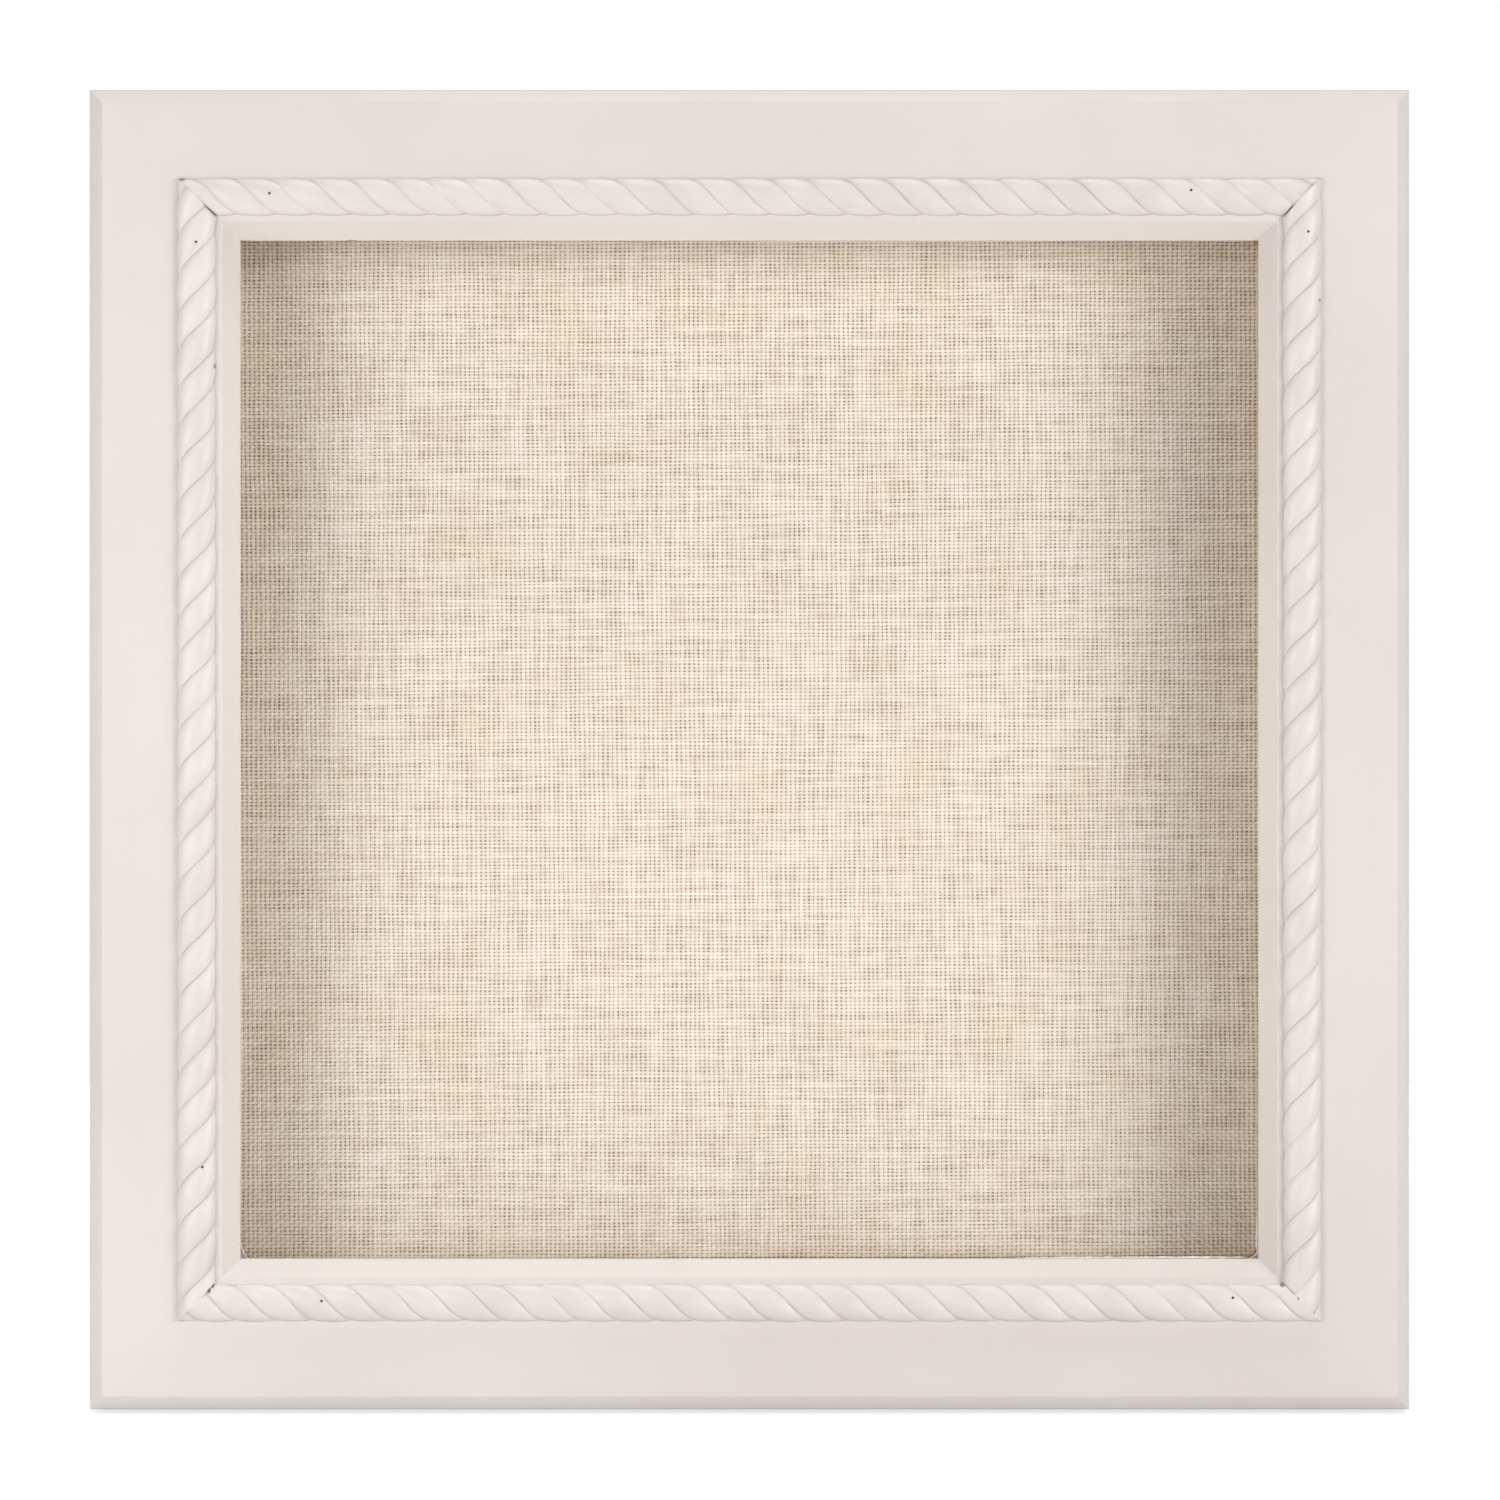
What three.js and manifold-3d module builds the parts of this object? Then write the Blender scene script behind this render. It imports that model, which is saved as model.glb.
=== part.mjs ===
// A square shadow box: a shallow wooden case behind a mitred, rope-trimmed door that holds the glass.
// Millimetres, +Z up. The door faces -Y, and the origin is under the middle of the box.
// Depths are counted from the door's flat face towards the wall.
import * as THREE from 'three';
import { mergeVertices } from 'three/addons/utils/BufferGeometryUtils.js';
import Module from 'manifold-3d';

const wasm = await Module();
wasm.setup();

// ---- driving dimensions ----
const INCH = 25.4;
const GAP = 0.3; // between pieces that touch

// Door frame
const DOOR_SIZE = 15 * INCH;
const MEMBER_WIDTH = 1.7 * INCH;
const DOOR_THICK = 18;
const OUTER_BEVEL = { width: 4, depth: 3 };
const INNER_BEVEL = { width: 4.8, depth: 6 };
const LIP_THICK = 2; // the edge that the glass is bedded behind
const RABBET_WIDTH = 6;
const MITRE_GAP = 0.4; // along a member, between it and the next one
const DOOR_LIFT = 1; // the door swings clear of the shelf

// Rope moulding
const ROPE_WIDTH = 11;
const ROPE_HEIGHT = 4;
const ROPE_INSET = 25.7; // from the door's outer edge to the rope
const STRANDS_PER_SIDE = 30;
const GROOVE_DEPTH = 0.24; // as a share of the rope's radius

// Glass and its sealant bed
const GLASS_THICK = 2;
const GLASS_CLEARANCE = 0.9; // to the rabbet's wall, on each side
const SEALANT = { width: 4.4, thick: 0.6 };

// Case
const BOARD_THICK = 19;
const DOOR_OVERHANG = 5; // past the case at the sides and the top
const PARTING = 0.8; // between the closed door and the case
const CASE_DEPTH = 39.2;
const BACK_RABBET = { width: 7, depth: 3.8 };
const BACK_THICK = 3.2;

// Linen-wrapped display board
const DISPLAY_SIZE = 12 * INCH;
const DISPLAY_CORNER = 5;
const DISPLAY_RAISE = 1.3; // it is fixed a little high and a little askew
const DISPLAY_TURN = -0.2 * (Math.PI / 180);
const LINEN_THICK = 1;
const CORE_THICK = 6.4;

// Butt hinges
const HINGE_LENGTH = 38;
const HINGE_SPACING = 240;
const LEAF = { thick: 1.2, width: 13.5 };
const BARREL_RADIUS = 2;
const PIN_RADIUS = 0.9;
const DOOR_KNUCKLE = 12.4;

// Magnetic catch, hangers and bumpers
const MAGNET = { radius: 5, thick: 4 };
const STRIKE = { radius: 6, thick: 1.2 };
const HANGER = { width: 7.8, thick: 1, length: 21, screwDrop: 16, eyeRadius: 2.3, boreRadius: 1.5 };
const RING = { wire: 2, innerWidth: 8.6, innerHeight: 9 };
const HANGER_DROP = 75; // from the case's top to the hangers' eyes
const BUMPER = { radius: 5, thick: 5.2, rise: 16 };

// ---- places worked out from them ----
const HALF = DOOR_SIZE / 2;
const SIGHT = HALF - MEMBER_WIDTH;
const RABBET_WALL = SIGHT + RABBET_WIDTH;
const LIP_BACK = INNER_BEVEL.depth + LIP_THICK;
const DOOR_Z = DOOR_LIFT + HALF;
const SEALANT_FRONT = LIP_BACK + GAP;
const GLASS_FRONT = SEALANT_FRONT + SEALANT.thick + GAP;
const GLASS_HALF = RABBET_WALL - GLASS_CLEARANCE;

const CASE_HALF = HALF - DOOR_OVERHANG;
const CASE_TOP = DOOR_LIFT + DOOR_SIZE - DOOR_OVERHANG;
const CASE_FRONT = DOOR_THICK + PARTING;
const CASE_BACK = CASE_FRONT + CASE_DEPTH;
const CAVITY_HALF = CASE_HALF - BOARD_THICK;
const RABBET_FACE = CASE_BACK - BACK_RABBET.depth;
const BACK_FRONT = RABBET_FACE + GAP;
const CORE_BACK = BACK_FRONT - GAP;
const CORE_FRONT = CORE_BACK - CORE_THICK;
const LINEN_FRONT = CORE_FRONT - GAP - LINEN_THICK;

const AXIS_X = -CASE_HALF - 2.5;
const AXIS_DEPTH = DOOR_THICK + PARTING / 2;
const CATCH_X = CAVITY_HALF + BOARD_THICK / 2;
const HANGER_X = CASE_HALF - (BOARD_THICK - BACK_RABBET.width) / 2;
const EYE_DEPTH = CASE_BACK + GAP + HANGER.eyeRadius;

const FRONTMOST = -GAP - ROPE_HEIGHT;
const BACKMOST = CASE_BACK + GAP + BUMPER.thick;

// ---- materials ----
const paint = finish(0xe8dfda, 0.55);
const castPaint = finish(0xe0d6d0, 0.6);
const linenCloth = finish(0xd8c9b4, 0.95);
const clearGlass = finish(0xf4f8f6, 0.03);
const clearSealant = finish(0xe9e6df, 0.3);
const greyBoard = finish(0xb9b2a6, 0.9);
const hardboard = finish(0x8a6443, 0.8);
const steel = finish(0xb9bcc0, 0.35, 1);
const brass = finish(0xc2a15a, 0.35, 1);
const nickel = finish(0xc9c6bf, 0.25, 1);
const felt = finish(0x6d6a66, 0.98);

function finish(color, roughness, metalness = 0) {
  return new THREE.MeshStandardMaterial({ color, roughness, metalness });
}

// ---- solids and booleans ----
function solid(geometry) {
  const bare = geometry.clone();
  bare.deleteAttribute('normal');
  bare.deleteAttribute('uv');
  const merged = mergeVertices(bare, 1e-4);
  return new wasm.Manifold(new wasm.Mesh({
    numProp: 3,
    vertProperties: Float32Array.from(merged.attributes.position.array),
    triVerts: Uint32Array.from(merged.index.array),
  }));
}

function surface(manifold) {
  const { vertProperties, triVerts } = manifold.getMesh();
  const geometry = new THREE.BufferGeometry();
  geometry.setAttribute('position', new THREE.BufferAttribute(vertProperties, 3));
  geometry.setIndex(new THREE.BufferAttribute(triVerts, 1));
  return geometry;
}

function cut(geometry, cutters) {
  return surface(cutters.reduce((body, cutter) => body.subtract(solid(cutter)), solid(geometry)));
}

function join(...geometries) {
  return surface(geometries.map(solid).reduce((whole, next) => whole.add(next)));
}

function block(x, depth, z) {
  const box = new THREE.BoxGeometry(x[1] - x[0], depth[1] - depth[0], z[1] - z[0]);
  return box.translate((x[0] + x[1]) / 2, (depth[0] + depth[1]) / 2, (z[0] + z[1]) / 2);
}

const span = (half) => [-half, half];

// A turned piece about the depth axis, from [radius, depth] points.
function lathe(profile) {
  return new THREE.LatheGeometry(profile.map(([radius, depth]) => new THREE.Vector2(radius, depth)), 12);
}

// A round bar along the depth, from one depth to another.
function peg(x, depth, z, radius, sides = 12) {
  const bar = new THREE.CylinderGeometry(radius, radius, depth[1] - depth[0], sides);
  return bar.translate(x, (depth[0] + depth[1]) / 2, z);
}

// ---- the scene graph ----
const box = new THREE.Group();
box.position.y = -(FRONTMOST + BACKMOST) / 2;

function place(name, geometry, material, position = [0, 0, 0], turn = [0, 0, 0]) {
  const piece = new THREE.Mesh(geometry, material);
  piece.name = name;
  piece.position.set(...position);
  piece.rotation.set(...turn);
  box.add(piece);
}

// The door's four sides are one member turned about the door's middle by quarter turns.
const SIDES = [
  { side: 'bottom', member: 'door_bottom_rail', turn: 0 },
  { side: 'left', member: 'door_left_stile', turn: Math.PI / 2 },
  { side: 'top', member: 'door_top_rail', turn: Math.PI },
  { side: 'right', member: 'door_right_stile', turn: -Math.PI / 2 },
];

// ---- door frame ----
// A section drawn as [inward from the door's edge, depth], run along the bottom and mitred at both ends.
function mitred(section, endGap = MITRE_GAP / 2) {
  const corners = section.map(([inward, depth]) => new THREE.Vector2(inward, depth));
  const outline = new THREE.Shape(corners);
  const member = new THREE.ExtrudeGeometry(outline, { depth: 2, bevelEnabled: false });
  member.translate(0, 0, -1).rotateY(-Math.PI / 2);
  const points = member.attributes.position;
  for (let i = 0; i < points.count; i++) {
    const inward = points.getZ(i);
    points.setX(i, Math.sign(points.getX(i)) * (HALF - inward - endGap));
    points.setZ(i, inward - HALF);
  }
  return member;
}

function doorMember() {
  const arris = MEMBER_WIDTH - INNER_BEVEL.width;
  const rabbet = MEMBER_WIDTH - RABBET_WIDTH;
  return mitred([
    [0, OUTER_BEVEL.depth],
    [OUTER_BEVEL.width, 0],
    [arris, 0],
    [MEMBER_WIDTH, INNER_BEVEL.depth],
    [MEMBER_WIDTH, LIP_BACK],
    [rabbet, LIP_BACK],
    [rabbet, DOOR_THICK],
    [0, DOOR_THICK],
  ]);
}

// V nail across a mitre, driven in from the back: its point is on the mitre, with a leg in each member.
const V_NAIL = { leg: 7, thick: 0.5, length: 10, inward: 17 };

function vNail(corner, spare) {
  const half = V_NAIL.thick / 2 + spare;
  const reach = V_NAIL.leg + spare;
  const depth = [DOOR_THICK - V_NAIL.length - spare, DOOR_THICK + spare - GAP];
  const leg = block([-half, reach], depth, [-half, half]);
  const nail = join(leg, leg.clone().rotateY(-Math.PI / 2));
  const [sideX, sideZ] = corner;
  const inset = HALF - V_NAIL.inward;
  nail.rotateY(Math.atan2(sideZ, -sideX) + Math.PI / 4);
  return nail.translate(sideX * inset, 0, sideZ * inset);
}

const CORNERS = [[-1, -1], [1, -1], [1, 1], [-1, 1]];
const cornerName = ([x, z]) => `${z > 0 ? 'top' : 'bottom'}_${x > 0 ? 'right' : 'left'}`;
const nailSlots = CORNERS.map((corner) => vNail(corner, GAP));

// ---- hinges ----
const HINGES = [-HINGE_SPACING / 2, HINGE_SPACING / 2];
const LEAF_OUT = -CASE_HALF - 0.1; // where a leaf's plate ends and its knuckles begin
const LEAF_IN = -CASE_HALF + LEAF.width;
const DOOR_LEAF = [AXIS_DEPTH - 0.2 - LEAF.thick, AXIS_DEPTH - 0.2];
const CASE_LEAF = [AXIS_DEPTH + 0.2, AXIS_DEPTH + 0.2 + LEAF.thick];
const SCREW_X = -CASE_HALF + 8;
const SCREW_SPREAD = 24;
const HINGE_SCREW = { head: 2.2, shank: 0.95, length: 10, sink: 1.1 };
const PILOT = HINGE_SCREW.shank + GAP;

function knuckle(from, to) {
  const tube = new THREE.CylinderGeometry(BARREL_RADIUS, BARREL_RADIUS, to - from, 14);
  return tube.rotateX(Math.PI / 2).translate(AXIS_X, AXIS_DEPTH, (from + to) / 2);
}

// A leaf at height 0: its plate, its knuckles, the tongues that join them, and the countersunk holes.
function leaf(depth, knuckles, screwSide) {
  let body = solid(block([LEAF_OUT, LEAF_IN], depth, span(HINGE_LENGTH / 2)));
  for (const [from, to] of knuckles) {
    body = body.add(solid(knuckle(from, to)));
    body = body.add(solid(block([AXIS_X, LEAF_OUT + GAP], depth, [from, to])));
  }
  const bore = new THREE.CylinderGeometry(PIN_RADIUS + GAP, PIN_RADIUS + GAP, HINGE_LENGTH + 2, 12);
  body = body.subtract(solid(bore.rotateX(Math.PI / 2).translate(AXIS_X, AXIS_DEPTH, 0)));
  const outer = screwSide > 0 ? depth[0] : depth[1];
  for (const z of [-SCREW_SPREAD / 2, SCREW_SPREAD / 2]) {
    const hole = countersink(GAP).rotateX(screwSide > 0 ? 0 : Math.PI);
    body = body.subtract(solid(hole.translate(SCREW_X, outer, z)));
  }
  return surface(body);
}

// A countersunk screw: its head is flush with depth 0 and its shank runs to greater depth.
function countersink(spare) {
  const { head, shank, length, sink } = HINGE_SCREW;
  const profile = [
    [0, -spare],
    [head + spare, -spare],
    [head + spare, 0.2],
    [shank + spare, sink + 0.2],
    [shank + spare, length - 2],
    [0, length],
  ];
  return lathe(profile);
}

function hingeScrew() {
  const { head } = HINGE_SCREW;
  const slot = block([-head * 1.1, head * 1.1], [-1, 0.5], [-0.3, 0.3]);
  return cut(countersink(0), [slot]);
}

function hingePin() {
  const half = HINGE_LENGTH / 2;
  const headRadius = PIN_RADIUS + 0.5;
  const profile = [
    [0, -half - 1.3],
    [headRadius, -half - 1.3],
    [headRadius, -half - GAP],
    [PIN_RADIUS, -half - GAP],
    [PIN_RADIUS, half + GAP],
    [headRadius, half + GAP],
    [headRadius, half + 1.3],
    [0, half + 1.3],
  ];
  return lathe(profile).rotateX(Math.PI / 2);
}

const doorKnuckles = [span(DOOR_KNUCKLE / 2)];
const caseKnuckles = [
  [-HINGE_LENGTH / 2, -DOOR_KNUCKLE / 2 - GAP],
  [DOOR_KNUCKLE / 2 + GAP, HINGE_LENGTH / 2],
];

function doorMortise(z) {
  const tall = [z - HINGE_LENGTH / 2 - GAP, z + HINGE_LENGTH / 2 + GAP];
  const notchTall = [z - HINGE_LENGTH / 2 - 1.6, z + HINGE_LENGTH / 2 + 1.6];
  const leafBed = block([-HALF - 1, LEAF_IN + GAP], [DOOR_LEAF[0] - GAP, DOOR_THICK + 1], tall);
  const notchDepth = [AXIS_DEPTH - BARREL_RADIUS - GAP, DOOR_THICK + 1];
  const notch = block([-HALF - 1, LEAF_OUT + GAP], notchDepth, notchTall);
  const holeDepth = [DOOR_LEAF[1] - HINGE_SCREW.length - GAP, DOOR_THICK];
  const holes = [-1, 1].map((end) => peg(SCREW_X, holeDepth, z + (end * SCREW_SPREAD) / 2, PILOT));
  return [leafBed, notch, ...holes];
}

function caseMortise(z) {
  const tall = [z - HINGE_LENGTH / 2 - GAP, z + HINGE_LENGTH / 2 + GAP];
  const leafBed = block([-CASE_HALF - 1, LEAF_IN + GAP], [CASE_FRONT - 1, CASE_LEAF[1] + GAP], tall);
  const holeDepth = [CASE_FRONT, CASE_LEAF[0] + HINGE_SCREW.length + GAP];
  const holes = [-1, 1].map((end) => peg(SCREW_X, holeDepth, z + (end * SCREW_SPREAD) / 2, PILOT));
  return [leafBed, ...holes];
}

// ---- rope moulding ----
// Half of a twisted rope, flat at the back. Its lines of points follow the grooves and lean with them.
const PITCH = (DOOR_SIZE - 2 * ROPE_INSET) / STRANDS_PER_SIDE;
const STEPS_PER_STRAND = 3;
const STEPS_ACROSS = 5;
const LEAN = 1.2; // pitches that a groove runs along the rope from one edge to the other

function ropeStrip() {
  const middle = ROPE_INSET + ROPE_WIDTH / 2 - HALF;
  const strands = STRANDS_PER_SIDE + 4; // past both mitres
  const rows = strands * STEPS_PER_STRAND;
  const points = [];
  for (let row = 0; row <= rows; row++) {
    const strand = row / STEPS_PER_STRAND;
    const fullness = 1 - GROOVE_DEPTH * Math.abs(Math.cos(Math.PI * strand)) ** 2;
    for (let step = 0; step <= STEPS_ACROSS; step++) {
      const around = (Math.PI * step) / STEPS_ACROSS;
      const along = (strand - strands / 2) * PITCH - LEAN * PITCH * (around / Math.PI - 0.5);
      const depth = -GAP - ROPE_HEIGHT * fullness * Math.sin(around);
      points.push(along, depth, middle - (ROPE_WIDTH / 2) * fullness * Math.cos(around));
    }
  }
  const faces = [];
  const at = (row, step) => row * (STEPS_ACROSS + 1) + step;
  const quad = (a, b, c, d) => faces.push(a, b, c, a, c, d);
  for (let row = 0; row < rows; row++) {
    for (let step = 0; step < STEPS_ACROSS; step++) {
      quad(at(row, step), at(row + 1, step), at(row + 1, step + 1), at(row, step + 1));
    }
    quad(at(row, STEPS_ACROSS), at(row + 1, STEPS_ACROSS), at(row + 1, 0), at(row, 0));
  }
  for (let step = 1; step < STEPS_ACROSS; step++) {
    faces.push(at(0, 0), at(0, step), at(0, step + 1));
    faces.push(at(rows, 0), at(rows, step + 1), at(rows, step));
  }
  const strip = new THREE.BufferGeometry();
  strip.setAttribute('position', new THREE.Float32BufferAttribute(points, 3));
  strip.setIndex(faces);
  return strip;
}

function ropeRoom() {
  const outer = ROPE_INSET - 1;
  const inner = ROPE_INSET + ROPE_WIDTH + 1;
  return mitred([[outer, -ROPE_HEIGHT - 2], [inner, -ROPE_HEIGHT - 2], [inner, 1], [outer, 1]]);
}

// Headless pins through the rope: [along the member from its middle, across the rope from its middle].
const PINS = {
  bottom: [[-123, 0.8], [139, 1.7]],
  left: [[-146, 0.2], [120, 2]],
  top: [[-127, -1.6], [138, -0.7]],
  right: [[-154, 1.6], [149, -1.4]],
};
const PIN = { radius: 0.4, tip: 8, sunk: 0.25 };

// The head is just under the rope's round surface.
function pin([along, across], spare = 0) {
  const z = ROPE_INSET + ROPE_WIDTH / 2 - HALF + across;
  const crown = Math.sqrt(1 - (across / (ROPE_WIDTH / 2)) ** 2);
  const head = PIN.sunk - GAP - ROPE_HEIGHT * crown;
  return peg(along, [head - 4 * spare, PIN.tip + spare], z, PIN.radius + spare, 8);
}

// ---- glass and its sealant ----
function sealantBed() {
  const inner = MEMBER_WIDTH - 1;
  const outer = inner - SEALANT.width;
  const back = SEALANT_FRONT + SEALANT.thick;
  return mitred([[outer, SEALANT_FRONT], [inner, SEALANT_FRONT], [inner, back], [outer, back]]);
}

function glassPane() {
  const side = span(GLASS_HALF);
  return block(side, [GLASS_FRONT, GLASS_FRONT + GLASS_THICK], side);
}

// ---- the door's pieces ----
const onDoor = [0, 0, DOOR_Z];

function strike(spare) {
  const depth = [DOOR_THICK - STRIKE.thick - spare, DOOR_THICK + spare];
  return peg(CATCH_X, depth, 0, STRIKE.radius + spare, 20);
}

const extraCuts = { left: HINGES.flatMap(doorMortise), right: [strike(GAP)], top: [], bottom: [] };

for (const { side, member, turn } of SIDES) {
  const pinHoles = PINS[side].map((spot) => pin(spot, GAP));
  const blank = cut(doorMember(), pinHoles).rotateY(turn);
  place(member, cut(blank, [...nailSlots, ...extraCuts[side]]), paint, onDoor);

  const rope = surface(solid(ropeStrip()).intersect(solid(ropeRoom())));
  place(`rope_${side}`, cut(rope, pinHoles), castPaint, onDoor, [0, turn, 0]);
  PINS[side].forEach((spot, i) => {
    place(`rope_pin_${side}_${i + 1}`, pin(spot), steel, onDoor, [0, turn, 0]);
  });

  place(`sealant_${side}`, sealantBed(), clearSealant, onDoor, [0, turn, 0]);
}

for (const corner of CORNERS) {
  place(`v_nail_${cornerName(corner)}`, vNail(corner, 0), steel, onDoor);
}

place('glass_pane', glassPane(), clearGlass, onDoor);
place('magnet_strike', strike(0), steel, onDoor);

// ---- case ----
const sideRoom = [CASE_FRONT, CASE_BACK];
const rabbetDepth = [RABBET_FACE, CASE_BACK + 1];
const BACK_HALF = CAVITY_HALF + BACK_RABBET.width - 0.5;
const BACK_Z = CASE_TOP / 2;

function magnet(spare) {
  const depth = [CASE_FRONT - spare, CASE_FRONT + MAGNET.thick + spare];
  return peg(CATCH_X, depth, DOOR_Z, MAGNET.radius + spare, 20);
}

// The back panel's rabbet, cut from every board at once.
const rabbetCut = block(span(CAVITY_HALF + BACK_RABBET.width), rabbetDepth, [
  BOARD_THICK - BACK_RABBET.width, CASE_TOP - BOARD_THICK + BACK_RABBET.width,
]);

// Round-headed wood screw whose head sits on depth 0; its shank runs to negative depth.
const ROUND_SCREW = { head: 3.2, high: 1.8, shank: 1.25 };

function roundScrew(length) {
  const { head, high, shank } = ROUND_SCREW;
  const profile = [
    [0, -length],
    [shank, 2 - length],
    [shank, 0],
    [head, 0],
    [head * 0.86, high * 0.6],
    [head * 0.5, high * 0.92],
    [0, high],
  ];
  return cut(lathe(profile), [block(span(head * 1.1), [high * 0.5, high + 1], span(0.4))]);
}

const screwHole = (x, depth, z) => peg(x, depth, z, ROUND_SCREW.shank + GAP, 10);

// Back panel screws: in the rabbets of the side boards.
const BACK_SCREW = { length: 14, x: CAVITY_HALF + 3.2, up: 128 };
const BACK_SCREWS = CORNERS.map(([x, z]) => [x * BACK_SCREW.x, BACK_Z + z * BACK_SCREW.up]);
const panelBack = BACK_FRONT + BACK_THICK;

function backHoles() {
  return BACK_SCREWS.map(([x, z]) => screwHole(x, [panelBack - BACK_SCREW.length, panelBack + 1], z));
}

// Hanger screws: in the back edges of the side boards.
const HANGER_SCREW = { length: 13 };
const HANGER_Z = CASE_TOP - HANGER_DROP;
const HANGER_SCREW_Z = HANGER_Z - HANGER.screwDrop;
const hangerHole = (x) => screwHole(x, [CASE_BACK - HANGER_SCREW.length, CASE_BACK + 1], HANGER_SCREW_Z);

function caseSide(side) {
  const x = [CAVITY_HALF, CASE_HALF].map((edge) => side * edge).sort((a, b) => a - b);
  const cutters = [rabbetCut, hangerHole(side * HANGER_X), ...backHoles()];
  if (side < 0) cutters.push(...HINGES.flatMap((z) => caseMortise(z + DOOR_Z)));
  else cutters.push(magnet(GAP));
  return cut(block(x, sideRoom, [0, CASE_TOP]), cutters);
}

const caseEnd = (z) => cut(block(span(CAVITY_HALF - GAP), sideRoom, z), [rabbetCut]);

place('case_left', caseSide(-1), paint);
place('case_right', caseSide(1), paint);
place('case_bottom', caseEnd([0, BOARD_THICK]), paint);
place('case_top', caseEnd([CASE_TOP - BOARD_THICK, CASE_TOP]), paint);
place('catch_magnet', magnet(0), nickel);

const panel = block(span(BACK_HALF), [BACK_FRONT, panelBack], [
  BOARD_THICK - BACK_RABBET.width + 0.5, CASE_TOP - BOARD_THICK + BACK_RABBET.width - 0.5,
]);
place('back_panel', cut(panel, backHoles()), hardboard);
BACK_SCREWS.forEach(([x, z], i) => {
  const name = `back_screw_${cornerName(CORNERS[i])}`;
  place(name, roundScrew(BACK_SCREW.length), steel, [x, panelBack + 0.1, z]);
});

// ---- display board ----
function roundedSquare(size, radius) {
  const half = size / 2;
  const square = new THREE.Shape();
  square.moveTo(half - radius, -half);
  square.absarc(half - radius, radius - half, radius, -Math.PI / 2, 0);
  square.absarc(half - radius, half - radius, radius, 0, Math.PI / 2);
  square.absarc(radius - half, half - radius, radius, Math.PI / 2, Math.PI);
  square.absarc(radius - half, radius - half, radius, Math.PI, Math.PI * 1.5);
  return square;
}

function slab(size, radius, front, back) {
  const options = { depth: back - front, bevelEnabled: false, curveSegments: 4 };
  const flat = new THREE.ExtrudeGeometry(roundedSquare(size, radius), options);
  return flat.rotateX(Math.PI / 2).translate(0, back, 0);
}

function linenCover() {
  const inside = DISPLAY_SIZE - 2 * (LINEN_THICK + GAP);
  const hollow = slab(inside, DISPLAY_CORNER - LINEN_THICK - GAP, CORE_FRONT - GAP, CORE_BACK + 1);
  return cut(slab(DISPLAY_SIZE, DISPLAY_CORNER, LINEN_FRONT, CORE_BACK - GAP), [hollow]);
}

const coreSize = DISPLAY_SIZE - 2 * LINEN_THICK - 4 * GAP;
const core = slab(coreSize, DISPLAY_CORNER - LINEN_THICK - 2 * GAP, CORE_FRONT, CORE_BACK);
const onBack = [0, 0, DOOR_Z + DISPLAY_RAISE];
place('linen_cover', linenCover(), linenCloth, onBack, [0, DISPLAY_TURN, 0]);
place('display_board', core, greyBoard, onBack, [0, DISPLAY_TURN, 0]);

// ---- fitting the hinges ----
HINGES.forEach((height, i) => {
  const label = i === 0 ? 'lower' : 'upper';
  const z = DOOR_Z + height;
  place(`${label}_hinge_case_leaf`, leaf(CASE_LEAF, caseKnuckles, 1), brass, [0, 0, z]);
  place(`${label}_hinge_door_leaf`, leaf(DOOR_LEAF, doorKnuckles, -1), brass, [0, 0, z]);
  place(`${label}_hinge_pin`, hingePin(), brass, [AXIS_X, AXIS_DEPTH, z]);
  [-1, 1].forEach((end, j) => {
    const at = z + (end * SCREW_SPREAD) / 2;
    place(`${label}_hinge_case_screw_${j + 1}`, hingeScrew(), brass, [SCREW_X, CASE_LEAF[0], at]);
    const turned = [Math.PI, 0, 0];
    place(`${label}_hinge_door_screw_${j + 1}`, hingeScrew(), brass, [SCREW_X, DOOR_LEAF[1], at], turned);
  });
});

// ---- hangers ----
// The strap lies on the board and curls at the top into the eye that holds the ring's straight bar.
function hangerStrap() {
  const { width, thick, length, screwDrop, eyeRadius, boreRadius } = HANGER;
  const hole = peg(0, [-eyeRadius - 1, 1], -screwDrop, ROUND_SCREW.shank + GAP);
  const plate = block(span(width / 2), [-eyeRadius, thick - eyeRadius], [-length, 0]);
  const eye = new THREE.CylinderGeometry(eyeRadius, eyeRadius, width, 16).rotateZ(Math.PI / 2);
  const bore = new THREE.CylinderGeometry(boreRadius, boreRadius, width + 1, 16).rotateZ(Math.PI / 2);
  return cut(join(plate, eye), [bore, hole]);
}

// A D of round wire, drawn hanging down from its straight bar.
function hangerRing() {
  const { wire, innerWidth, innerHeight } = RING;
  const bevel = wire * 0.28;
  const edge = wire / 2 - bevel;
  const half = innerWidth / 2 + wire / 2;
  const drop = innerHeight + wire;
  const outline = (grow) => {
    const side = half + grow;
    const d = new THREE.Path();
    d.moveTo(-side, grow);
    d.lineTo(-side, -drop + half);
    d.absellipse(0, -drop + half, side, half + grow, Math.PI, 2 * Math.PI);
    d.lineTo(side, grow);
    d.closePath();
    return d;
  };
  const shape = new THREE.Shape(outline(edge).getPoints(6));
  shape.holes.push(new THREE.Path(outline(-edge).getPoints(6)));
  const bevels = { bevelThickness: bevel, bevelSize: bevel, bevelSegments: 1 };
  const ring = new THREE.ExtrudeGeometry(shape, { depth: 2 * edge, curveSegments: 6, ...bevels });
  return ring.translate(0, 0, -edge).rotateX(Math.PI / 2);
}

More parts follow.
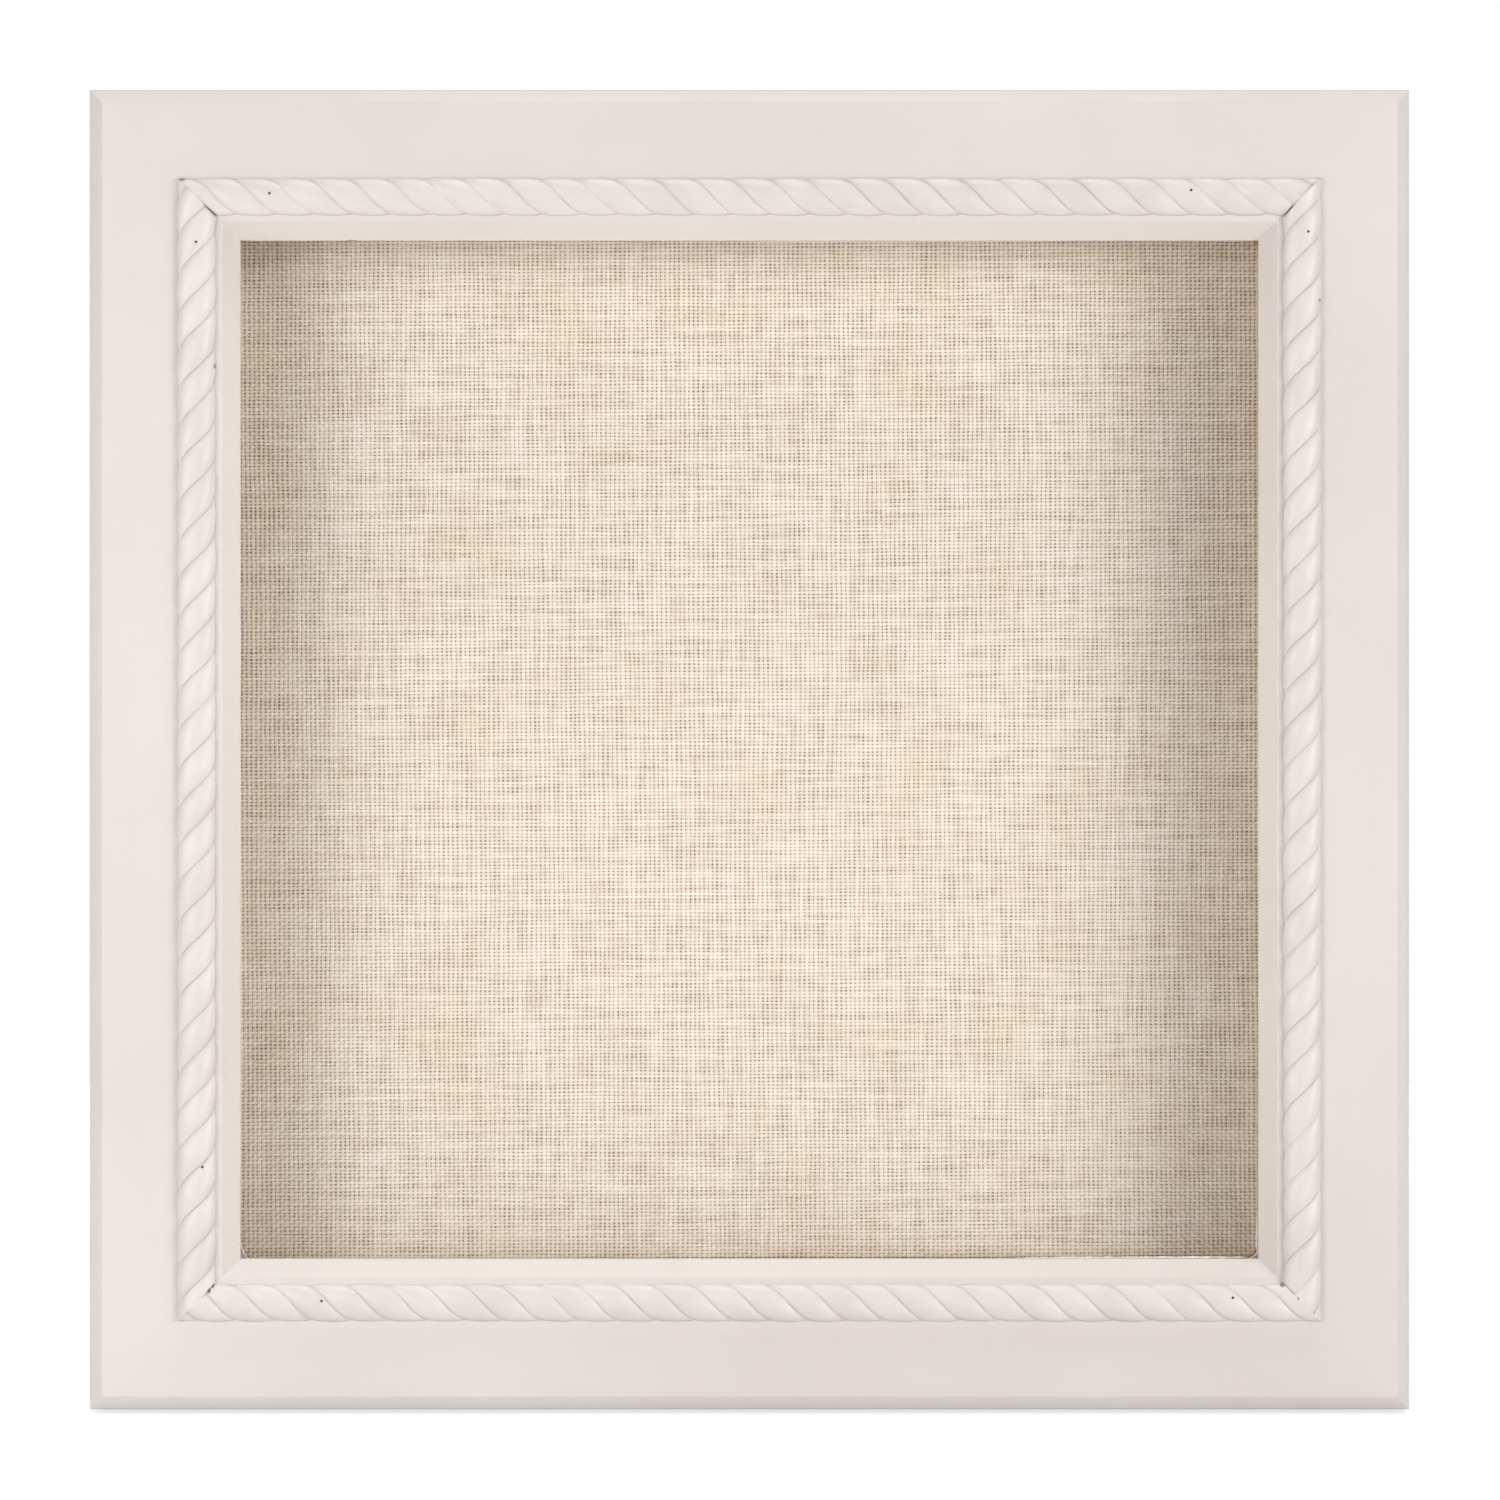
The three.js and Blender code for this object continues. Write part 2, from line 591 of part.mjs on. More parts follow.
for (const [label, side] of [['left', -1], ['right', 1]]) {
  const x = side * HANGER_X;
  place(`${label}_hanger_strap`, hangerStrap(), nickel, [x, EYE_DEPTH, HANGER_Z]);
  place(`${label}_hanger_ring`, hangerRing(), nickel, [x, EYE_DEPTH, HANGER_Z]);
  const head = EYE_DEPTH - HANGER.eyeRadius + HANGER.thick + 0.1;
  place(`${label}_hanger_screw`, roundScrew(HANGER_SCREW.length), nickel, [x, head, HANGER_SCREW_Z]);
  const bumper = peg(x, [CASE_BACK + GAP, BACKMOST], BUMPER.rise, BUMPER.radius, 20);
  place(`${label}_wall_bumper`, bumper, felt);
}

export default box;
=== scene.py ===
"""The looks of the shadow box: paint, rope, woven linen, glass, hardware, lights and camera.

Metres, +Z up, the glazed door faces -Y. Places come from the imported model.
"""

import math
import random

import bmesh
import bpy
from mathutils import Matrix, Vector, noise


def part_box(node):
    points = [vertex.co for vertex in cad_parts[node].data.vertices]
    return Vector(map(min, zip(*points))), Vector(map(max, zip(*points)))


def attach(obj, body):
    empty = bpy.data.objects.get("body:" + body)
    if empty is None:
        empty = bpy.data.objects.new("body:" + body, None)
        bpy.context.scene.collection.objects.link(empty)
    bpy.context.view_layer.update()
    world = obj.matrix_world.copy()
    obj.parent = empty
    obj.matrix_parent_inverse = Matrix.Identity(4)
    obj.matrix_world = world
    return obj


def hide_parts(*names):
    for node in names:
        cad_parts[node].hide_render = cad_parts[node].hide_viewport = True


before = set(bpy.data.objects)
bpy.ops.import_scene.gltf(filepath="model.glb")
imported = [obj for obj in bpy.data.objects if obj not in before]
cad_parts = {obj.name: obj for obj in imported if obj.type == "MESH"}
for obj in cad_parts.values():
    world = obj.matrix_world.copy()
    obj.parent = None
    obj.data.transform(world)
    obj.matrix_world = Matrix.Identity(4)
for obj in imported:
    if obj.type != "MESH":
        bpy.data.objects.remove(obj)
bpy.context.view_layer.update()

MM = 0.001
MERGE = 0.0001 * MM  # vertices nearer than this are one
TURN = {"bottom": 0.0, "left": math.pi / 2, "top": math.pi, "right": -math.pi / 2}

# ---- places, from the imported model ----
stile_low, stile_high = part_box("door_left_stile")
HALF = -stile_low.x
FACE = stile_low.y
DOOR_BACK = stile_high.y
DOOR_Z = (stile_low.z + stile_high.z) / 2
MEMBER = stile_high.x - stile_low.x
GLASS_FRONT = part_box("glass_pane")[0].y
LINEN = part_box("linen_cover")
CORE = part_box("display_board")

# ---- door section, in metres from the outer edge and from the face ----
OUTER_BEVEL = (4.0 * MM, 3.0 * MM)
INNER_BEVEL = (4.8 * MM, 6.0 * MM)
LIP = 2.0 * MM
RABBET = 6.0 * MM

# ---- rope moulding ----
ROPE_INSET = 25.7 * MM
ROPE_WIDTH = 11.0 * MM
ROPE_HEIGHT = 4.1 * MM
STRANDS = 30
LEAN = 1.2  # pitches that a groove runs along the rope from one edge to the other
GROOVE = 0.26  # groove depth as a share of the rope's radius


# ---------------------------------------------------------------- mesh helpers
def add_object(name, mesh):
    piece = bpy.data.objects.new(name, mesh)
    bpy.context.scene.collection.objects.link(piece)
    return piece


def piece_from(name, bm, smooth=40):
    """A new object from bm, with its normals out and smooth shading under the given angle."""
    bmesh.ops.recalc_face_normals(bm, faces=bm.faces)
    mesh = bpy.data.meshes.new(name)
    bm.to_mesh(mesh)
    bm.free()
    mesh.shade_smooth()
    if smooth < 180:
        mesh.set_sharp_from_angle(angle=math.radians(smooth))
    return add_object(name, mesh)


def loft(bm, rows):
    """Joins closed rows of vertices into a skin with flat ends."""
    for a, b in zip(rows, rows[1:]):
        for i in range(len(a)):
            j = (i + 1) % len(a)
            bm.faces.new((a[i], a[j], b[j], b[i]))
    bm.faces.new(rows[0])
    bm.faces.new(rows[-1])


def applied(piece, smooth):
    """Turns a piece's modifiers into its mesh."""
    graph = bpy.context.evaluated_depsgraph_get()
    mesh = bpy.data.meshes.new_from_object(piece.evaluated_get(graph))
    piece.modifiers.clear()
    piece.data = mesh
    mesh.shade_smooth()
    mesh.set_sharp_from_angle(angle=math.radians(smooth))
    return piece


def block(low, high):
    """A box to cut with, between two corners."""
    bm = bmesh.new()
    bmesh.ops.create_cube(bm, size=1)
    low, high = Vector(low), Vector(high)
    for v in bm.verts:
        v.co = Vector((low[i] + (v.co[i] + 0.5) * (high[i] - low[i]) for i in range(3)))
    return piece_from("cutter", bm)


def rod(centre, axis, radius, length, sides=40):
    """A round bar to cut with."""
    bm = bmesh.new()
    bmesh.ops.create_cone(
        bm, cap_ends=True, segments=sides, radius1=radius, radius2=radius, depth=length
    )
    turn = Vector((0, 0, 1)).rotation_difference(Vector(axis)).to_matrix().to_4x4()
    bm.transform(Matrix.Translation(centre) @ turn)
    return piece_from("cutter", bm)


def carve(piece, cutters, smooth):
    """Cuts the cutters out of a piece and removes them."""
    for cutter in cutters:
        cut = piece.modifiers.new("cut", "BOOLEAN")
        cut.operation, cut.solver, cut.object = "DIFFERENCE", "EXACT", cutter
    applied(piece, smooth)
    for cutter in cutters:
        bpy.data.objects.remove(cutter)
    return piece


def grown(node, spare):
    """A node's box with room to spare all round."""
    low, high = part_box(node)
    return low - Vector([spare] * 3), high + Vector([spare] * 3)


def rounded(corners, steps=5):
    """A closed outline whose corners [x, y, radius] are arcs."""
    outline = []
    for i, (x, y, radius) in enumerate(corners):
        here = Vector((x, y))
        before = (Vector(corners[i - 1][:2]) - here).normalized()
        after = (Vector(corners[(i + 1) % len(corners)][:2]) - here).normalized()
        half = before.angle(after) / 2
        centre = here + (before + after).normalized() * radius / math.sin(half)
        start = here + before * radius / math.tan(half) - centre
        end = here + after * radius / math.tan(half) - centre
        for k in range(steps + 1):
            arc = start.lerp(end, k / steps).normalized() * radius if radius else start
            outline.append(centre + arc if radius else here)
    return outline


# ---------------------------------------------------------------- node helpers
class Nodes:
    """Short calls for building one material's node tree."""

    def __init__(self, name):
        self.material = bpy.data.materials.new(name)
        self.material.use_nodes = True
        self.tree = self.material.node_tree
        self.shader = self.tree.nodes["Principled BSDF"]

    def new(self, kind, **settings):
        node = self.tree.nodes.new(kind)
        for key, value in settings.items():
            setattr(node, key, value)
        return node

    def link(self, value, socket):
        if isinstance(value, bpy.types.NodeSocket):
            self.tree.links.new(value, socket)
        else:
            socket.default_value = value

    def math(self, operation, *values):
        node = self.new("ShaderNodeMath", operation=operation)
        for value, socket in zip(values, node.inputs):
            self.link(value, socket)
        return node.outputs[0]

    def step(self, value, low, high):
        node = self.new("ShaderNodeMapRange", interpolation_type="SMOOTHSTEP")
        for v, name in ((value, "Value"), (low, "From Min"), (high, "From Max")):
            self.link(v, node.inputs[name])
        return node.outputs[0]

    def mix(self, factor, a, b):
        node = self.new("ShaderNodeMix", data_type="RGBA")
        self.link(factor, node.inputs[0])
        for colour, socket in ((a, node.inputs[6]), (b, node.inputs[7])):
            self.link(colour if isinstance(colour, bpy.types.NodeSocket) else (*colour, 1), socket)
        return node.outputs[2]

    def noise(self, vector, scale, detail=3.0, stretch=(1, 1, 1), rough=0.5):
        place = self.new("ShaderNodeMapping")
        self.link(vector, place.inputs["Vector"])
        place.inputs["Scale"].default_value = stretch
        node = self.new("ShaderNodeTexNoise")
        self.link(place.outputs[0], node.inputs["Vector"])
        node.inputs["Scale"].default_value = scale
        node.inputs["Detail"].default_value = detail
        node.inputs["Roughness"].default_value = rough
        return node.outputs[0]

    def coordinates(self):
        return self.new("ShaderNodeTexCoord").outputs["Object"]

    def bump(self, height, distance, strength):
        node = self.new("ShaderNodeBump")
        node.inputs["Strength"].default_value = strength
        node.inputs["Distance"].default_value = distance
        self.link(height, node.inputs["Height"])
        return node.outputs[0]

    def blend(self, factor, a, b):
        """A mix of two shaders: a at 0, b at 1, and nothing in the place of None."""
        node = self.new("ShaderNodeMixShader")
        for value, socket in zip((factor, a, b), node.inputs):
            if value is not None:
                self.link(value, socket)
        return node.outputs[0]

    def show(self, surface):
        self.link(surface, self.tree.nodes["Material Output"].inputs[0])
        return self.material

    def finish(self, colour, roughness, normal=None, **fixed):
        """Sets the main shader; uniform values are given as Socket_Name=value."""
        self.link(colour, self.shader.inputs["Base Color"])
        self.link(roughness, self.shader.inputs["Roughness"])
        if normal:
            self.link(normal, self.shader.inputs["Normal"])
        for name, value in fixed.items():
            self.shader.inputs[name.replace("_", " ")].default_value = value
        return self.material


def srgb(red, green, blue):
    """A colour given as it looks on screen, 0 to 255, as the shader's linear values."""
    return tuple(((c / 255 + 0.055) / 1.055) ** 2.4 for c in (red, green, blue))


def dress(piece, material):
    piece.data.materials.clear()
    piece.data.materials.append(material)


def fit_out(piece, body, slot, material, *replaced):
    dress(piece, material)
    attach(piece, body)
    if replaced:
        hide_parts(*replaced)
    return piece


# ---------------------------------------------------------------- wear
CAVITY_X = -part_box("case_left")[1].x  # half the case's inside width
CAVITY_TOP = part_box("case_top")[0].z
CAVITY_Z = (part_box("case_bottom")[1].z + CAVITY_TOP) / 2
SIGHT = HALF - MEMBER  # half the opening between the lips
ROPE_OUT = HALF - ROPE_INSET  # half the square along the rope's outer edge
ROPE_IN = ROPE_OUT - ROPE_WIDTH  # and along its inner edge
# Bare places: how far right of and above the door's middle, half width and half height.
FACE_CHIPS = {
    # a dark dash along the lip's edge, drawn in the bare-wood colour
    "dark dash at the lip": (-0.39 * 2 * SIGHT, SIGHT - 0.3 * MM, 2.3 * MM, 0.5 * MM),
}
ROPE_CHIPS = {
    "top left nick": (-ROPE_OUT + 1.6 * MM, ROPE_OUT - 0.7 * MM, 1.0 * MM, 0.6 * MM),
    "bottom left flake": (-ROPE_IN - 1.6 * MM, -ROPE_IN - 1.9 * MM, 0.5 * MM, 0.8 * MM),
    "bottom left fleck": (-ROPE_IN - 0.5 * MM, -ROPE_IN - 0.7 * MM, 0.35 * MM, 0.6 * MM),
    "bottom right flake": (ROPE_IN - 0.4 * MM, -ROPE_IN - 0.3 * MM, 0.8 * MM, 0.7 * MM),
    "bottom right speck": (ROPE_IN + 4.0 * MM, -ROPE_IN - 4.1 * MM, 0.35 * MM, 0.4 * MM),
    "left specks": (-ROPE_IN + 0.1 * MM, 0.71 * ROPE_OUT, 0.35 * MM, 1.1 * MM),
    "left pit": (-ROPE_IN + 0.1 * MM, 0.67 * ROPE_OUT, 0.7 * MM, 0.9 * MM),
    "left low pit": (-ROPE_IN + 0.1 * MM, -0.09 * ROPE_OUT, 0.5 * MM, 0.8 * MM),
    "right speck": (ROPE_OUT - 0.6 * MM, 0.785 * ROPE_OUT, 0.4 * MM, 0.5 * MM),
}


def chipped(n, where, chips):
    """1 where a chip has bared the wood, with a ragged edge."""
    split = n.new("ShaderNodeSeparateXYZ")
    n.link(where, split.inputs[0])
    ragged = n.math("MULTIPLY", n.noise(where, 2600, 4), 1.9)
    bare = 0.0
    for x, z, half_width, half_height in chips.values():
        right = n.math("DIVIDE", n.math("SUBTRACT", split.outputs[0], x), half_width)
        up = n.math("DIVIDE", n.math("SUBTRACT", split.outputs[2], DOOR_Z + z), half_height)
        squares = n.math("ADD", n.math("MULTIPLY", right, right), n.math("MULTIPLY", up, up))
        away = n.math("SQRT", squares)
        bare = n.math("MAXIMUM", bare, n.step(n.math("ADD", away, ragged), 1.9, 1.6))
    return bare


# ---------------------------------------------------------------- materials
BARE_WOOD = srgb(92, 74, 58)


def painted_wood(name, light, shade, along, chips=(), inside=False):
    """Warm white paint brushed along the grain, with cloudiness, brush lines and a fine grain."""
    n = Nodes(name)
    where = n.coordinates()
    cloud = n.noise(where, 9, 3)
    stretch = tuple(0.04 if i == along else 1 for i in range(3))
    brush = n.noise(where, 900, 2, stretch)
    grain = n.noise(where, 160, 4, stretch)
    orange_peel = n.noise(where, 420, 2)
    colour = n.mix(n.step(cloud, 0.3, 0.7), light, shade)
    colour = n.mix(n.math("MULTIPLY", n.step(grain, 0.45, 0.75), 0.25), colour, shade)
    rough = n.math("ADD", 0.42, n.math("MULTIPLY", n.noise(where, 60, 3), 0.16))
    height = n.math("ADD", n.math("MULTIPLY", brush, 0.5), n.math("MULTIPLY", orange_peel, 0.35))
    height = n.math("ADD", height, n.math("MULTIPLY", grain, 0.6))
    if inside:
        split = n.new("ShaderNodeSeparateXYZ")
        n.link(where, split.inputs[0])
        reach_x = n.math("SUBTRACT", n.math("ABSOLUTE", split.outputs[0]), CAVITY_X)
        from_middle = n.math("ABSOLUTE", n.math("SUBTRACT", split.outputs[2], CAVITY_Z))
        reach_z = n.math("SUBTRACT", from_middle, CAVITY_TOP - CAVITY_Z)
        unpainted = n.step(n.math("MAXIMUM", reach_x, reach_z), 0.6 * MM, 0.3 * MM)
        pine = n.mix(n.step(grain, 0.35, 0.65), srgb(196, 158, 112), srgb(222, 190, 146))
        colour = n.mix(unpainted, colour, pine)
    if chips:
        bare = chipped(n, where, chips)
        colour = n.mix(n.math("MULTIPLY", bare, 0.85), colour, BARE_WOOD)
        height = n.math("SUBTRACT", height, n.math("MULTIPLY", bare, 3))
    relief = n.bump(height, 0.06 * MM, 0.5)
    return n.finish(colour, rough, relief, Coat_Weight=0.08, Coat_Roughness=0.3)


def rope_paint():
    """The same paint over the carved rope, with painted shade darkening its grooves, and small drips
    and pits.
    """
    n = Nodes("rope_paint")
    where = n.coordinates()
    # painted shade: the rope's hollow grooves are coloured darker, where shade falls in them
    groove_shade = n.step(n.new("ShaderNodeNewGeometry").outputs["Pointiness"], 0.44, 0.5)
    cloud = n.noise(where, 60, 3)
    colour = n.mix(n.step(cloud, 0.35, 0.7), srgb(221, 215, 211), srgb(215, 208, 204))
    colour = n.mix(groove_shade, srgb(200, 191, 186), colour)
    rough = n.math("ADD", 0.36, n.math("MULTIPLY", n.noise(where, 300, 3), 0.18))
    lumps = n.math("ADD", n.noise(where, 420, 3), n.math("MULTIPLY", n.noise(where, 1500, 2), 0.3))
    bare = chipped(n, where, ROPE_CHIPS)
    colour = n.mix(n.math("MULTIPLY", bare, 0.75), colour, BARE_WOOD)
    lumps = n.math("SUBTRACT", lumps, n.math("MULTIPLY", bare, 2))
    relief = n.bump(lumps, 0.12 * MM, 0.6)
    return n.finish(colour, rough, relief, Coat_Weight=0.1, Coat_Roughness=0.25)


WARP_PITCH = 1.355 * MM
WEFT_PITCH = 1.04 * MM
LINEN_LIGHT, LINEN_SHADE = srgb(245, 236, 227), srgb(232, 218, 205)
LINEN_WARM, LINEN_GAP_SHADE_AND_FIBRE = srgb(229, 212, 188), srgb(188, 165, 132)
LINEN_KNOT, LINEN_HOLE_SHADE = srgb(170, 142, 108), srgb(104, 84, 58)


def linen_cloth():
    """Open plain weave: slubby yarns over and under, with a hole between each four; painted shade
    darkens the holes and the gaps between yarns.
    """
    n = Nodes("linen_cloth")
    uv = n.new("ShaderNodeUVMap", uv_map="cloth").outputs[0]
    split = n.new("ShaderNodeSeparateXYZ")
    n.link(uv, split.inputs[0])

    def yarns(place, pitch, stretch):
        drift = n.math("MULTIPLY", n.math("SUBTRACT", n.noise(uv, 24, 2, stretch), 0.5), 1.6)
        jitter = n.math("MULTIPLY", n.math("SUBTRACT", n.noise(uv, 260, 2, stretch), 0.5), 0.5)
        return n.math("ADD", n.math("DIVIDE", place, pitch), n.math("ADD", drift, jitter))

    def off_middle(yarn):  # 0 on a yarn's middle, 1 midway between two
        across = n.math("MULTIPLY", n.math("FRACT", yarn), 2)
        return n.math("ABSOLUTE", n.math("SUBTRACT", across, 1))

    warp = yarns(split.outputs[0], WARP_PITCH, (1, 0.3, 1))
    weft = yarns(split.outputs[1], WEFT_PITCH, (0.3, 1, 1))
    warp_off, weft_off = off_middle(warp), off_middle(weft)
    warp_slub = n.noise(uv, 500, 3, (1, 0.12, 1), 0.6)
    weft_slub = n.noise(uv, 640, 3, (0.06, 1, 1), 0.6)
    warp_width = n.math("SUBTRACT", 0.97, warp_slub)
    warp_gap = n.math("DIVIDE", n.math("SUBTRACT", 1, warp_off), warp_width)
    weft_width = n.math("SUBTRACT", 1.16, n.math("MULTIPLY", weft_slub, 1.35))
    weft_gap = n.math("DIVIDE", n.math("SUBTRACT", 1, weft_off), weft_width)
    squares = n.math("ADD", n.math("POWER", warp_gap, 2.0), n.math("POWER", weft_gap, 2.0))
    open_here = n.step(n.noise(uv, 230, 4, (0.7, 1, 1)), 0.36, 0.62)
    depth = n.math("ADD", 0.55, n.math("MULTIPLY", open_here, 0.45))
    hole = n.math("MULTIPLY", n.step(n.math("SQRT", squares), 1.4, 0.45), depth)

    turn = n.math("MULTIPLY", n.math("ADD", n.math("FLOOR", warp), n.math("FLOOR", weft)), 0.5)
    weft_over = n.step(n.math("FRACT", turn), 0.2, 0.3)
    warp_crown = n.math("SUBTRACT", 1, n.math("MULTIPLY", warp_off, warp_off))
    weft_crown = n.math("SUBTRACT", 1, n.math("MULTIPLY", weft_off, weft_off))
    over = n.new("ShaderNodeMix", data_type="FLOAT")
    for value, index in ((weft_over, 0), (warp_crown, 2), (weft_crown, 3)):
        n.link(value, over.inputs[index])
    crown = over.outputs[0]
    fibre = n.noise(uv, 4200, 2)
    height = n.math("ADD", n.math("SUBTRACT", crown, hole), n.math("MULTIPLY", fibre, 0.3))

    tone = n.math("ADD", n.math("MULTIPLY", warp_slub, 0.4), n.math("MULTIPLY", weft_slub, 0.6))
    colour = n.mix(n.step(tone, 0.36, 0.62), LINEN_SHADE, LINEN_LIGHT)
    warmth = n.step(n.noise(uv, 30, 4), 0.4, 0.7)
    colour = n.mix(n.math("MULTIPLY", warmth, 0.3), colour, LINEN_WARM)
    # painted shade: the yarns' edges and the gaps between them are coloured darker
    colour = n.mix(n.math("MULTIPLY", n.step(crown, 0.75, 0.05), 0.42), colour, LINEN_GAP_SHADE_AND_FIBRE)
    # darker fibres here and there, in the same colour
    colour = n.mix(n.math("MULTIPLY", n.step(fibre, 0.62, 0.4), 0.12), colour, LINEN_GAP_SHADE_AND_FIBRE)
    knots = n.step(n.noise(uv, 800, 1, (0.6, 1, 1)), 0.76, 0.8)
    colour = n.mix(n.math("MULTIPLY", knots, 0.45), colour, LINEN_KNOT)
    # painted shade: each hole is coloured dark for the shadow inside it
    colour = n.mix(n.math("MULTIPLY", hole, 0.74), colour, LINEN_HOLE_SHADE)
    rough = n.math("ADD", 0.82, n.math("MULTIPLY", fibre, 0.14))
    return n.finish(colour, rough, n.bump(height, 0.22 * MM, 0.7), Specular_IOR_Level=0.2)


def clear_glass():
    """A thin clear pane: sight passes straight through, and faint smears dull its reflection."""
    n = Nodes("clear_glass")
    n.tree.nodes.remove(n.shader)
    fresnel = n.new("ShaderNodeFresnel")
    fresnel.inputs["IOR"].default_value = 1.45
    clear = n.new("ShaderNodeBsdfTransparent")
    clear.inputs[0].default_value = (0.995, 1, 0.995, 1)
    gloss = n.new("ShaderNodeBsdfAnisotropic")
    smears = n.step(n.noise(n.coordinates(), 13, 5, (1, 1, 0.5), 0.6), 0.48, 0.75)
    n.link(n.math("ADD", 0.02, n.math("MULTIPLY", smears, 0.1)), gloss.inputs["Roughness"])
    gloss.inputs["Color"].default_value = (0.35, 0.35, 0.35, 1)
    both = n.new("ShaderNodeAddShader")
    n.link(clear.outputs[0], both.inputs[0])
    n.link(n.blend(fresnel.outputs[0], None, gloss.outputs[0]), both.inputs[1])
    return n.show(both.outputs[0])


def clear_sealant():
    """Cloudy clear sealant in a lumpy bead."""
    n = Nodes("clear_sealant")
    where = n.coordinates()
    cloud = n.noise(where, 500, 3)
    colour = n.mix(n.step(cloud, 0.35, 0.7), srgb(214, 208, 198), srgb(240, 238, 232))
    return n.finish(colour, 0.22, n.bump(n.noise(where, 700, 2), 0.2 * MM, 0.6), Coat_Weight=0.4)


def sealant_film_painted_shade():
    """Cloudy sealant smeared thin, coloured with painted shade for the shadowed corner behind it."""
    n = Nodes("sealant_film_painted_shade")
    where = n.coordinates()
    streaks = n.noise(where, 1300, 3, (1, 1, 0.5))
    # painted shade: the greys stand for the dark corner behind the film, seen through it
    colour = n.mix(n.step(streaks, 0.35, 0.7), srgb(168, 158, 152), srgb(214, 206, 199))
    return n.finish(colour, 0.18, n.bump(streaks, 0.15 * MM, 0.7), Coat_Weight=0.5)


def metal(name, colour, roughness, scratch):
    """Plated or drawn metal with fine scratches and slight tarnish."""
    n = Nodes(name)
    where = n.coordinates()
    tarnish = n.step(n.noise(where, 180, 4), 0.4, 0.75)
    lines = n.noise(where, 1400, 2, scratch)
    tint = n.mix(n.math("MULTIPLY", tarnish, 0.5), colour, tuple(c * 0.62 for c in colour))
    rough = n.math("ADD", roughness, n.math("MULTIPLY", lines, 0.2))
    return n.finish(tint, rough, n.bump(lines, 0.03 * MM, 0.5), Metallic=1.0)


def hardboard():
    """Brown pressed fibre board: short fibres lying every way, and faint cloudiness."""
    n = Nodes("hardboard")
    where = n.coordinates()
    fibres = n.noise(where, 1300, 4, (1, 1, 0.35), 0.65)
    crossed = n.noise(where, 1100, 4, (0.35, 1, 1), 0.65)
    blotch = n.noise(where, 12, 3)
    mat = n.math("MULTIPLY", n.math("ADD", fibres, crossed), 0.5)
    colour = n.mix(n.step(mat, 0.38, 0.62), srgb(126, 88, 56), srgb(176, 134, 92))
    colour = n.mix(n.math("MULTIPLY", n.step(blotch, 0.35, 0.7), 0.35), colour, srgb(142, 102, 68))
    rough = n.math("ADD", 0.6, n.math("MULTIPLY", fibres, 0.25))
    return n.finish(colour, rough, n.bump(mat, 0.12 * MM, 0.7))


def grey_board():
    """The display board's pale grey card."""
    n = Nodes("grey_board")
    where = n.coordinates()
    fibres = n.noise(where, 700, 5, (1, 1, 1), 0.7)
    colour = n.mix(n.step(fibres, 0.3, 0.7), srgb(196, 190, 180), srgb(222, 218, 209))
    return n.finish(colour, 0.9, n.bump(fibres, 0.08 * MM, 0.6))


def grey_felt():
    """Dark grey felt: matted short hairs and a little lint."""
    n = Nodes("grey_felt")
    where = n.coordinates()
    hairs = n.noise(where, 1900, 5, (1, 1, 0.4), 0.7)
    lint = n.step(n.noise(where, 900, 2), 0.68, 0.74)
    colour = n.mix(n.step(hairs, 0.35, 0.65), srgb(84, 81, 78), srgb(132, 128, 122))
    colour = n.mix(n.math("MULTIPLY", lint, 0.4), colour, srgb(186, 181, 172))
    nap = n.bump(hairs, 0.25 * MM, 0.9)
    return n.finish(colour, 0.95, nap, Specular_IOR_Level=0.15, Sheen_Weight=0.3)


PAINT_LIGHT, PAINT_SHADE = srgb(219, 212, 208), srgb(214, 206, 202)
rail_paint = painted_wood("rail_paint", PAINT_LIGHT, PAINT_SHADE, 0, FACE_CHIPS)
stile_paint = painted_wood("stile_paint", PAINT_LIGHT, PAINT_SHADE, 2, FACE_CHIPS)
case_across = painted_wood("case_paint_along_x", PAINT_LIGHT, PAINT_SHADE, 0, inside=True)
case_up = painted_wood("case_paint_along_z", PAINT_LIGHT, PAINT_SHADE, 2, inside=True)
rope_finish = rope_paint()
linen_finish = linen_cloth()
glass_finish = clear_glass()
sealant_finish = clear_sealant()
film_shade_finish = sealant_film_painted_shade()
steel_finish = metal("zinc_steel", srgb(176, 178, 182), 0.32, (1, 1, 0.05))
dark_steel_finish = metal("dull_pin", srgb(92, 88, 84), 0.5, (1, 1, 1))
brass_finish = metal("satin_brass", srgb(206, 176, 112), 0.28, (1, 1, 0.05))
nickel_finish = metal("nickel_plate", srgb(206, 203, 196), 0.22, (0.05, 1, 1))
hardboard_finish = hardboard()
board_finish = grey_board()
felt_finish = grey_felt()


# ---------------------------------------------------------------- door frame
MEMBER_SMOOTH = 50  # degrees under which two faces of a member shade as one
LEAF_ROOM = 0.3 * MM  # clear of a leaf or the strike
BARREL_ROOM = 0.8 * MM  # clear of a hinge's barrel
PAST = 1 * MM  # how far a cutter goes past the wood


